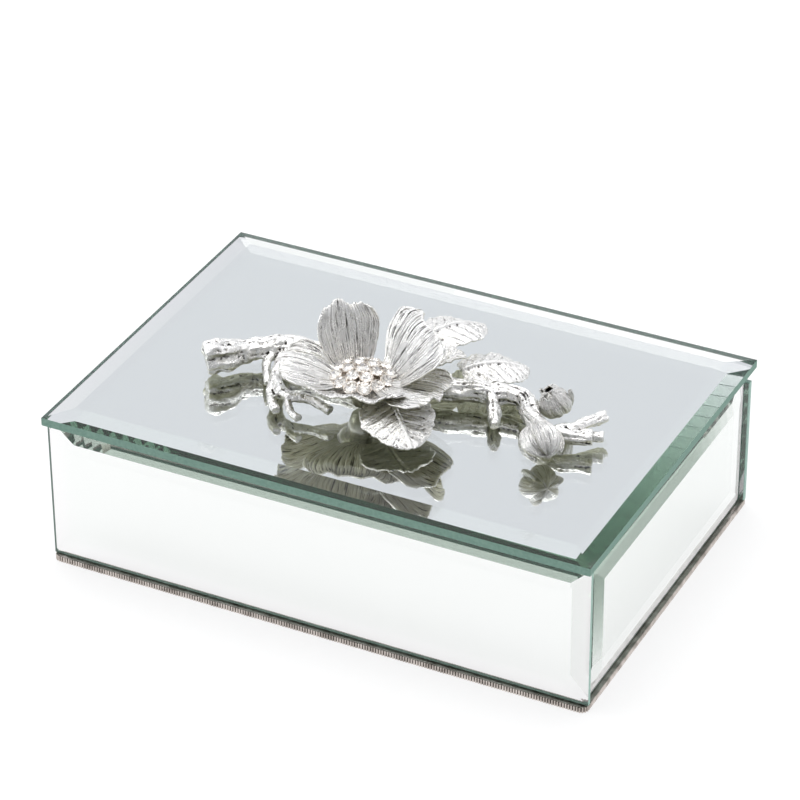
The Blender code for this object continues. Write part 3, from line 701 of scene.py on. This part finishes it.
TWIGS = (
    [(64, -10.5, 4.2, 1.9), (70, -6.5, 4.8, 1.8), (74, -1, 5.3, 1.9), (78, 5, 5.7, 2.0)],
    [(68, -10, 3.2, 1.8), (75, -5.8, 2.6, 1.6), (81, -3.6, 2.4, 1.8)],
    [(35, 2, 5.4, 2.3), (37.4, -3, 4.4, 2.1), (40.3, -8.5, 3.4, 2.3), (43.2, -14, 2.3, 1.4)],
    [(-45, -3, 5.4, 2.4), (-43, -14, 5.2, 1.9), (-39.5, -24, 4.8, 1.8), (-33, -31.5, 4.6, 2.3)],
    [(-35, -29.5, 4.7, 2.0), (-30, -31.5, 4.5, 1.8), (-22.5, -30, 4.4, 1.6), (-13, -32, 3.4, 1.5)],
    [(-41, -21, 4.8, 1.8), (-37.5, -32, 3.2, 1.5), (-31.5, -39, 2.3, 1.5)],
    [(-46, -2, 6.4, 1.9), (-49, -12, 4.6, 1.5), (-46, -19, 3.0, 1.3), (-43, -24, 2.2, 1.1)],
    [(-31, -31, 3.8, 1.3), (-27, -37, 2.8, 1.2), (-22, -40, 2.2, 1.3)],
)
for seed, twig in enumerate(TWIGS, 2):
    limb(branch_bm, twig, seed)
KNOTS = (
    (-66, -21, 9.2, 2.4),
    (-58, -14.5, 7.6, 2.2),
    (-47, -5.5, 8.0, 2.4),
    (-70, -20, 7.0, 2.3),
    (-38, -1, 7.6, 2.0),
    (38, 3, 6.8, 1.7),
    (54, -3, 6.0, 1.9),
)
for x, y, h, radius in KNOTS:
    bmesh.ops.create_icosphere(branch_bm, subdivisions=2, radius=radius, matrix=Matrix.Translation((x, y, h)))
bmesh.ops.scale(branch_bm, vec=(MM, MM, MM), verts=branch_bm.verts)
bmesh.ops.translate(branch_bm, vec=(0, 0, lid_top), verts=branch_bm.verts)
bmesh.ops.recalc_face_normals(branch_bm, faces=branch_bm.faces)


def apply_modifiers(made):
    """Keeps the shape that the modifiers give as the piece's own mesh."""
    bpy.context.view_layer.update()
    solved = made.evaluated_get(bpy.context.evaluated_depsgraph_get())
    mesh = bpy.data.meshes.new_from_object(solved)
    made.modifiers.clear()
    made.data = mesh


def thicken(made, thickness):
    """Gives thin sheets a wall, half of it on each side."""
    wall = made.modifiers.new("wall", "SOLIDIFY")
    wall.thickness = thickness
    wall.offset = 0
    apply_modifiers(made)


BARK_GRAIN = 0.32 * MM
BARK_PITS = 0.28 * MM
branch = piece("cast_branch", branch_bm, "lid", bark_silver)
fuse = branch.modifiers.new("fuse", "REMESH")
fuse.mode = "VOXEL"
fuse.voxel_size = BARK_GRAIN
fuse.use_smooth_shade = True
apply_modifiers(branch)
outward = [vert.normal.copy() for vert in branch.data.vertices]
for vert, normal in zip(branch.data.vertices, outward):
    rough = noise.noise(vert.co * 380) + 0.6 * noise.noise(vert.co * 850)
    spot = vert.co + normal * rough * BARK_PITS
    spot.z = max(spot.z, lid_top + 0.15 * MM)
    vert.co = spot
mark_hollows(branch, reach=9)
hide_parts("branch")


# Flower. Five cupped petals cast in one piece on a short foot: thin sheets with fan-shaped grain and
# wavy, nibbled rims. The two far ones stand almost upright, the near one lies towards the front.
petal_silver = cast_silver("cast_petal_bright_silver_plate", (44, 2.4), 2.5)
flower_low, flower_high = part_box("crystal_setting")
flower_x = (flower_low.x + flower_high.x) / 2 / MM
flower_y = (flower_low.y + flower_high.y) / 2 / MM
FLOOR_H = 10.2  # height of the flower's floor above the mirror, and the next sizes, in millimetres
PETAL_START = 6.5
ROOT_HALF = 5.2
LONGEST_RIM = 1.05  # the longest rim as a share of a petal's length
PETAL_WALL = 0.75 * MM


def between(values, share):
    """The smooth value at a share of the way along a list."""
    at = max(0, min(1, share)) * (len(values) - 1)
    i = min(int(at), len(values) - 2)
    t = at - i
    a, b, c, d = (values[max(0, min(len(values) - 1, j))] for j in (i - 1, i, i + 1, i + 2))
    return 0.5 * (2 * b + (c - a) * t + (2 * a - 5 * b + 4 * c - d) * t * t + (3 * b - 3 * c + d - a) * t**3)


def sheet_grid(bm, columns, rows):
    """A flat grid with a UV map called grain; returns its vertices with across (-1..1) and along (0..1)."""
    made = bmesh.ops.create_grid(bm, x_segments=columns, y_segments=rows, size=1)["verts"]
    layer = bm.loops.layers.uv.get("grain") or bm.loops.layers.uv.new("grain")
    shares = {vert: (vert.co.x, (vert.co.y + 1) / 2) for vert in made}
    for face in {f for vert in made for f in vert.link_faces}:
        for loop in face.loops:
            across, along = shares[loop.vert]
            loop[layer].uv = ((across + 1) / 2, along)
    return shares


def grooves(across, along, shift, count):
    """Sharp-bottomed grooves that fan along a sheet, coming and going."""
    fan = noise.noise(Vector((across * count, along * 1.1, 5)) + shift)
    hair = noise.noise(Vector((across * count * 2.3, along * 1.8, 8)) + shift)
    strength = 0.5 + 0.8 * max(0, noise.noise(Vector((across * 2.4, along * 2.2, 11)) + shift))
    return strength * (0.6 * (abs(fan) * 2 - 0.5) + 0.4 * (abs(hair) * 2 - 0.5))


def petal(bm, turn, slope, curl, length, width, cup, seed, rims, lift=0.0, lean=0.0, belly=0.78):
    """One petal in millimetres round the flower's centre: it starts flat and bends up to its slope."""
    steps = 120
    r, z = PETAL_START, FLOOR_H + lift
    profile = []
    for i in range(steps + 1):
        s = i / steps * length * LONGEST_RIM
        rise = min(1, max(0, (s - 2.5) / 5.0))
        tilt = math.radians(slope * rise * rise * (3 - 2 * rise) + curl * (s / length) ** 2)
        profile.append((r, z, tilt))
        r += length * LONGEST_RIM / steps * math.cos(tilt)
        z += length * LONGEST_RIM / steps * math.sin(tilt)
    shift = Vector((seed * 11.7, seed * 5.3, 0))
    round_centre = Matrix.Rotation(math.radians(turn), 3, "Z")
    for vert, (across, along) in sheet_grid(bm, 130, 52).items():
        rim = between(rims, (across + 1) / 2) / LONGEST_RIM
        rim += 0.022 * noise.noise(Vector((across * 5, 0, 0)) + shift)
        rim += 0.014 * noise.noise(Vector((across * 17, 2, 0)) + shift)
        at = min(1, along * rim) * steps
        whole = min(steps - 1, int(at))
        share = at - whole
        r, z, tilt = (a + (b - a) * share for a, b in zip(profile[whole], profile[whole + 1]))
        spread = math.sin(math.pi / 2 * min(1, along / belly))
        half = ROOT_HALF + (width / 2 - ROOT_HALF) * spread
        half *= 1 - 0.16 * max(0, (along - 0.8) / 0.2) ** 2
        half *= 1 + 0.06 * noise.noise(Vector((along * 4, across, 7)) + shift)
        folds = 0.7 * along * math.cos(across * 7.5 + seed * 2.1)
        folds += 1.7 * along * noise.noise(Vector((across * 2.4, along * 0.9, 3)) + shift)
        bowl = cup * across * across * math.sin(math.pi / 2 * min(1, along * 1.3))
        edge = max(0, along - 0.84) / 0.16
        flare = -1.1 * edge * edge * (0.7 + 1.4 * noise.noise(Vector((across * 3.6, 9, 0)) + shift))
        out = folds + bowl + flare + grooves(across, along, shift, 15) * min(1, along * 3)
        sideways = across * half + lean * along * along
        vert.co = round_centre @ Vector((r - math.sin(tilt) * out, sideways, z + math.cos(tilt) * out))


flower_bm = bmesh.new()
# Each row: turn, slope, curl, length, width, cup, seed, rim lengths from right to left, and the rest.
PETALS = (
    ((137, 72, -8, 28, 23, 2.2, 1), [0.86, 0.93, 0.93, 0.93, 1.0, 1.04, 0.98, 0.94, 0.85], {}),
    ((40, 53, -8, 27, 46, 3.2, 2), [1.0, 1.03, 1.02, 1.0, 0.99, 0.97, 0.97, 0.97, 0.9], {"belly": 0.95}),
    ((284, 36, -6, 15.5, 38, 1.8, 3), [0.9, 1.0, 0.95, 1.0, 0.94, 1.0, 0.95, 1.0, 0.9], {"lift": -1.0}),
    (
        (199, 24, -10, 24.5, 29, 1.8, 4),
        [0.86, 0.94, 0.98, 1, 0.99, 0.98, 0.96, 0.9, 0.84],
        {"lift": 0.3, "lean": 2.0},
    ),
    (
        (358, 15, -6, 28, 28, 0.5, 5),
        [0.86, 0.93, 0.97, 0.99, 0.99, 0.98, 0.99, 0.97, 0.88],
        {"lift": 0.5, "lean": -2.5},
    ),
)
for form, rims, rest in PETALS:
    petal(flower_bm, *form, rims, **rest)
bmesh.ops.scale(flower_bm, vec=(MM, MM, MM), verts=flower_bm.verts)
bmesh.ops.translate(flower_bm, vec=(flower_x * MM, flower_y * MM, lid_top), verts=flower_bm.verts)
flower = piece("cast_flower", flower_bm, "lid", petal_silver)
thicken(flower, PETAL_WALL)
foot_bm = bmesh.new()
foot_bm.from_mesh(flower.data)
FOOT = ((4.2, 7.0, 8.8, 4.9), (8.0, 9.6, 0.8, 9.5))
for low_radius, high_radius, tall, middle in FOOT:
    bmesh.ops.create_cone(
        foot_bm,
        cap_ends=True,
        segments=48,
        radius1=low_radius * MM,
        radius2=high_radius * MM,
        depth=tall * MM,
        matrix=Matrix.Translation((flower_x * MM, flower_y * MM, lid_top + middle * MM)),
    )
for face in foot_bm.faces:
    face.smooth = True
foot_bm.to_mesh(flower.data)
foot_bm.free()
mark_hollows(flower, reach=4, depth=0.10 * MM)
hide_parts("flower")


# Stones and setting. Round-cut crystal stones with a silver foil behind, pressed into cups on a
# domed warm-plated setting: one in the middle, six round it and twelve round those.
# A warm pale metal that glints between the stones.
warm_metal, tree, shader = surface("warm_plated_cup_setting", Metallic=1.0)
place = add(tree, "ShaderNodeTexCoord").outputs["Object"]
dull = add(tree, "ShaderNodeTexNoise", {"Scale": 600.0, "Detail": 4.0}, {"Vector": place}).outputs["Fac"]
tone = add(
    tree, "ShaderNodeValToRGB", links={"Fac": dull}, stops=[(0.3, colour("B9ADA0")), (0.65, colour("F2ECE5"))]
).outputs["Color"]
tree.links.new(tone, shader.inputs["Base Color"])
worn = add(tree, "ShaderNodeMapRange", {"To Min": 0.15, "To Max": 0.4}, {"Value": dull}).outputs["Result"]
tree.links.new(worn, shader.inputs["Roughness"])
# Crystal glass bends light more than window glass, so the facets sparkle.
crystal, tree, shader = surface(
    "cut_crystal_glass", Base_Color=(1, 1, 1, 1), Roughness=0.0, IOR=1.6, Transmission_Weight=1.0
)
# The foil behind each stone throws the light back through the facets.
foil, tree, shader = surface(
    "silver_foil_stone_back", Base_Color=colour("F7F5F2"), Roughness=0.04, Metallic=1.0
)

DOME_R = 18.5 * MM
STONE_R = 2.4 * MM
STONE_SIDES = 12
dome_centre = Vector((flower_x * MM, flower_y * MM, flower_high.z - DOME_R))


def on_dome(lean, turn, lift):
    """Frame of a stone standing on the dome, leaning outwards."""
    turned = Matrix.Rotation(math.radians(turn), 4, "Z") @ Matrix.Rotation(math.radians(lean), 4, "Y")
    return Matrix.Translation(dome_centre) @ turned @ Matrix.Translation((0, 0, DOME_R + lift))


def round_cut(radius):
    """A round-cut stone at the origin: foiled pavilion (material 1) under a clear crown and table (0)."""
    bm = bmesh.new()
    bmesh.ops.create_cone(
        bm, cap_ends=True, segments=STONE_SIDES, radius1=radius, radius2=radius * 0.55, depth=radius * 0.42
    )
    bmesh.ops.translate(bm, vec=(0, 0, radius * 0.21), verts=bm.verts)
    girdle = [f for f in bm.faces if f.normal.z < -0.9]
    point = bmesh.ops.poke(bm, faces=girdle)["verts"]
    bmesh.ops.translate(bm, vec=(0, 0, -radius * 0.6), verts=point)
    bm.normal_update()
    for face in bm.faces:
        face.material_index = int(face.normal.z < -0.05)
    mesh = bpy.data.meshes.new("stone")
    bm.to_mesh(mesh)
    bm.free()
    return mesh


def cup(radius):
    """The rolled rim of a cup at the origin, with four bead prongs bent over its stone."""
    bm = bmesh.new()
    wire = bmesh.ops.create_circle(bm, segments=8, radius=0.22 * MM)["verts"]
    bmesh.ops.rotate(bm, cent=(0, 0, 0), matrix=Matrix.Rotation(math.pi / 2, 3, "X"), verts=wire)
    bmesh.ops.translate(bm, vec=(radius, 0, 0), verts=wire)
    bmesh.ops.spin(
        bm,
        geom=bm.verts[:] + bm.edges[:],
        cent=(0, 0, 0),
        axis=(0, 0, 1),
        angle=math.tau,
        steps=20,
        use_merge=True,
    )
    for quarter in range(4):
        prong = Matrix.Rotation(math.radians(45 + 90 * quarter), 4, "Z")
        prong = prong @ Matrix.Translation((radius * 0.94, 0, 0.42 * MM))
        bmesh.ops.create_icosphere(bm, subdivisions=1, radius=0.28 * MM, matrix=prong)
    bmesh.ops.recalc_face_normals(bm, faces=bm.faces)
    mesh = bpy.data.meshes.new("cup")
    bm.to_mesh(mesh)
    bm.free()
    return mesh


def stamp(bm, mesh, stand):
    """Adds a copy of a mesh to a bmesh, standing where the matrix says."""
    copy = mesh.copy()
    copy.transform(stand)
    bm.from_mesh(copy)
    bpy.data.meshes.remove(copy)


STANDS = [("crystal_centre", STONE_R * 1.10, [(0, 0)])]
STANDS += [(f"crystal_inner_{i + 1}", STONE_R, [(15.2, 60 * i + 12)]) for i in range(6)]
STANDS += [("crystal_outer_ring", STONE_R * 1.08, [(29.6, 30 * i) for i in range(12)])]
setting_bm = bmesh.new()
bmesh.ops.create_uvsphere(setting_bm, u_segments=48, v_segments=48, radius=DOME_R)
bmesh.ops.bisect_plane(
    setting_bm,
    geom=setting_bm.verts[:] + setting_bm.edges[:] + setting_bm.faces[:],
    plane_co=(0, 0, DOME_R - (flower_high.z - flower_low.z) + 0.3 * MM),
    plane_no=(0, 0, -1),
    clear_outer=True,
)
bmesh.ops.holes_fill(setting_bm, edges=[e for e in setting_bm.edges if e.is_boundary])
bmesh.ops.translate(setting_bm, vec=dome_centre, verts=setting_bm.verts)
for node, radius, spots in STANDS:
    gem_bm = bmesh.new()
    cut = round_cut(radius)
    holder = cup(radius)
    for lean, turn in spots:
        stamp(gem_bm, cut, on_dome(lean, turn, 1.35 * MM))
        stamp(setting_bm, holder, on_dome(lean, turn, 1.15 * MM))
    gem = piece(node + "_cut", gem_bm, "lid", crystal, foil, smooth=False)
    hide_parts(node)
setting = piece("domed_setting", setting_bm, "lid", warm_metal)
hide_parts("crystal_setting")


# Leaves. Thin castings with a raised midrib and slanting side veins, wavy at the rim; they lean from
# the branch down to the mirror. The small one behind the flower is curled over.
LEAF_WALL = 0.6 * MM
LEAF_LOWEST = 0.55  # millimetres above the mirror
leaf_silver = cast_silver("cast_leaf_bright_silver_plate", (9, 16), 1.3)


def leaf(name, node, root, tip, width, arch, fold, seed, veins=7, fat=0.55):
    """A veined leaf from root to tip in millimetres; fat sets how broad it stays towards both ends."""
    bm = bmesh.new()
    start = Vector(root)
    run = Vector(tip) - start
    side = Vector((-run.y, run.x, 0)).normalized()
    over = run.cross(side).normalized()
    if over.z < 0:
        over.negate()
    shift = Vector((seed * 4.1, seed * 9.7, 0))
    for vert, (across, along) in sheet_grid(bm, 84, 96).items():
        shape = max(0.0, math.sin(math.pi * min(1, 0.06 + 0.91 * along) ** 0.85)) ** fat
        half = width / 2 * max(0.07, shape) * (1 + 0.05 * noise.noise(Vector((along * 6, across, 2)) + shift))
        half *= 1 + 0.07 * noise.noise(Vector((along * 16, across, 2)) + shift)
        rim = 1 - 0.06 * across * across * along
        bend = arch * math.sin(math.pi * along) - fold * (abs(across) - 0.45) * half / (width / 2)
        stray = 0.02 * noise.noise(Vector((across * 3, along * 3, 6)) + shift)
        vein = (along - 0.26 * abs(across) + stray) * veins
        crest = 0.5 + 0.5 * math.cos(vein * math.tau)
        ridge = (0.45 * crest**3 - 0.16 * (1 - crest) ** 5) * min(1, abs(across) * 4)
        ridge *= 1 - 0.3 * abs(across)
        midrib = 1.2 * math.exp(-((across * half / 0.6) ** 2)) * (1 - 0.6 * along)
        wave = 1.3 * across * across * noise.noise(Vector((along * 5, across * 0.8, 4)) + shift)
        grain = 0.25 * noise.noise(Vector((vein * 5, across * 2, 1)) + shift)
        point = start + run * (along * rim) + side * (half * across)
        vert.co = point + over * (bend + ridge + midrib + wave + grain)
    for vert in bm.verts:
        vert.co.z = max(vert.co.z, LEAF_LOWEST)
    bmesh.ops.scale(bm, vec=(MM, MM, MM), verts=bm.verts)
    bmesh.ops.translate(bm, vec=(0, 0, lid_top), verts=bm.verts)
    bmesh.ops.recalc_face_normals(bm, faces=bm.faces)
    made = piece(name, bm, "lid", leaf_silver)
    thicken(made, LEAF_WALL)
    mark_hollows(made, reach=5, depth=0.12 * MM)
    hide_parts(node)


leaf("cast_leaf_front", "leaf_front", (4, -21, 7.8), (23.5, -40.5, 2.2), 27, 1.6, 1.4, 1, veins=6)
leaf("cast_leaf_back", "leaf_back", (0.5, 13, 11.4), (14.5, 38.5, 7.6), 21, 3.0, 2.4, 2, fat=0.42)
leaf("cast_leaf_right", "leaf_right", (20.5, 6, 7.6), (40, 22, 4.8), 21, 2.6, 2.0, 3, fat=0.42)
leaf("cast_leaf_small", "leaf_small", (10.5, 3.5, 10.0), (19.5, 12, 11), 11, 1.6, -2.6, 4, 4, fat=0.45)


# Buds. Half-open blossoms: rounded petals wrapped round a core, each a curved shell with a thick rim,
# and narrow sepals that hug them from the stem. The front one points forward, the back one upward.
BUD_WALL = 0.45 * MM


def bud(name, node, tip, wraps, seed, core=0.8, grow=1.0):
    """A blossom in a CAD node's box: shells wrap the axis that runs from the stem to the tip."""
    low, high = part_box(node)
    centre = (low + high) / 2 / MM
    centre.z -= lid_top / MM
    size = (high - low) / 2 / MM * grow
    turned = Vector(tip).normalized().to_track_quat("Z", "X").to_matrix()
    shells = bmesh.new()
    for turn, spread, rise_from, rise_to, bulge, open_out, point in wraps:
        round_axis = Matrix.Rotation(math.radians(turn), 3, "Z")
        for vert, (across, along) in sheet_grid(shells, 44, 44).items():
            taper = 1 - point * along**1.5
            top = rise_to * (1 - 0.16 * abs(across) ** 2.5)
            rise = math.radians(rise_from + along * (top - rise_from))
            swing = math.radians(spread) * across * taper
            reach = bulge + open_out * max(0, along - 0.45) ** 2 - 0.24 * across * across
            fan = noise.noise(Vector((across * 9, along * 1.2, seed + turn)))
            reach += 0.05 * abs(fan) + 0.03 * math.cos(across * 6 + seed) * along
            level = math.cos(rise)
            spot = Vector((level * math.cos(swing), level * math.sin(swing), math.sin(rise)))
            vert.co = round_axis @ (spot * reach)
    heart = bmesh.ops.create_icosphere(shells, subdivisions=4, radius=core)["verts"]
    for vert in heart:
        vert.co *= 1 + 0.12 * noise.noise(vert.co * 4 + Vector((seed, 0, 0)))
    bmesh.ops.transform(shells, matrix=turned.to_4x4(), verts=shells.verts)
    bmesh.ops.scale(shells, vec=size, verts=shells.verts)
    bmesh.ops.translate(shells, vec=centre, verts=shells.verts)
    bmesh.ops.scale(shells, vec=(MM, MM, MM), verts=shells.verts)
    bmesh.ops.translate(shells, vec=(0, 0, lid_top), verts=shells.verts)
    bmesh.ops.recalc_face_normals(shells, faces=shells.faces)
    made = piece(name, shells, "lid", petal_silver)
    thicken(made, BUD_WALL)
    mark_hollows(made, reach=5, depth=0.12 * MM)
    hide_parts(node)


FRONT_WRAPS = (
    (205, 52, -80, 96, 0.98, 0.0, 0.20),
    (325, 48, -80, 92, 0.96, 0.0, 0.25),
    (85, 58, -80, 90, 0.94, 0.0, 0.25),
    (265, 34, -60, 84, 0.92, 0.0, 0.30),
    (25, 36, -60, 84, 0.90, 0.0, 0.30),
    (265, 16, -90, 50, 1.06, 0.0, 0.80),
    (25, 16, -90, 46, 1.06, 0.0, 0.80),
    (145, 18, -90, 50, 1.06, 0.0, 0.80),
)
bud("cast_bud_front", "bud_front", (0.65, -0.62, -0.42), FRONT_WRAPS, 1, core=0.72)
BACK_WRAPS = (
    (300, 46, -70, 74, 0.98, 0.10, 0.10),
    (55, 46, -70, 66, 0.98, 0.16, 0.10),
    (180, 50, -70, 68, 0.96, 0.14, 0.10),
    (240, 36, -50, 88, 0.88, 0.06, 0.15),
    (0, 34, -50, 90, 0.86, 0.06, 0.15),
    (120, 36, -50, 88, 0.86, 0.06, 0.15),
    (330, 20, -80, 20, 1.05, 0.7, 0.70),
    (90, 20, -80, 20, 1.05, 0.6, 0.70),
)
bud("cast_bud_back", "bud_back", (-0.25, -0.45, 0.86), BACK_WRAPS, 2, core=0.66, grow=1.14)
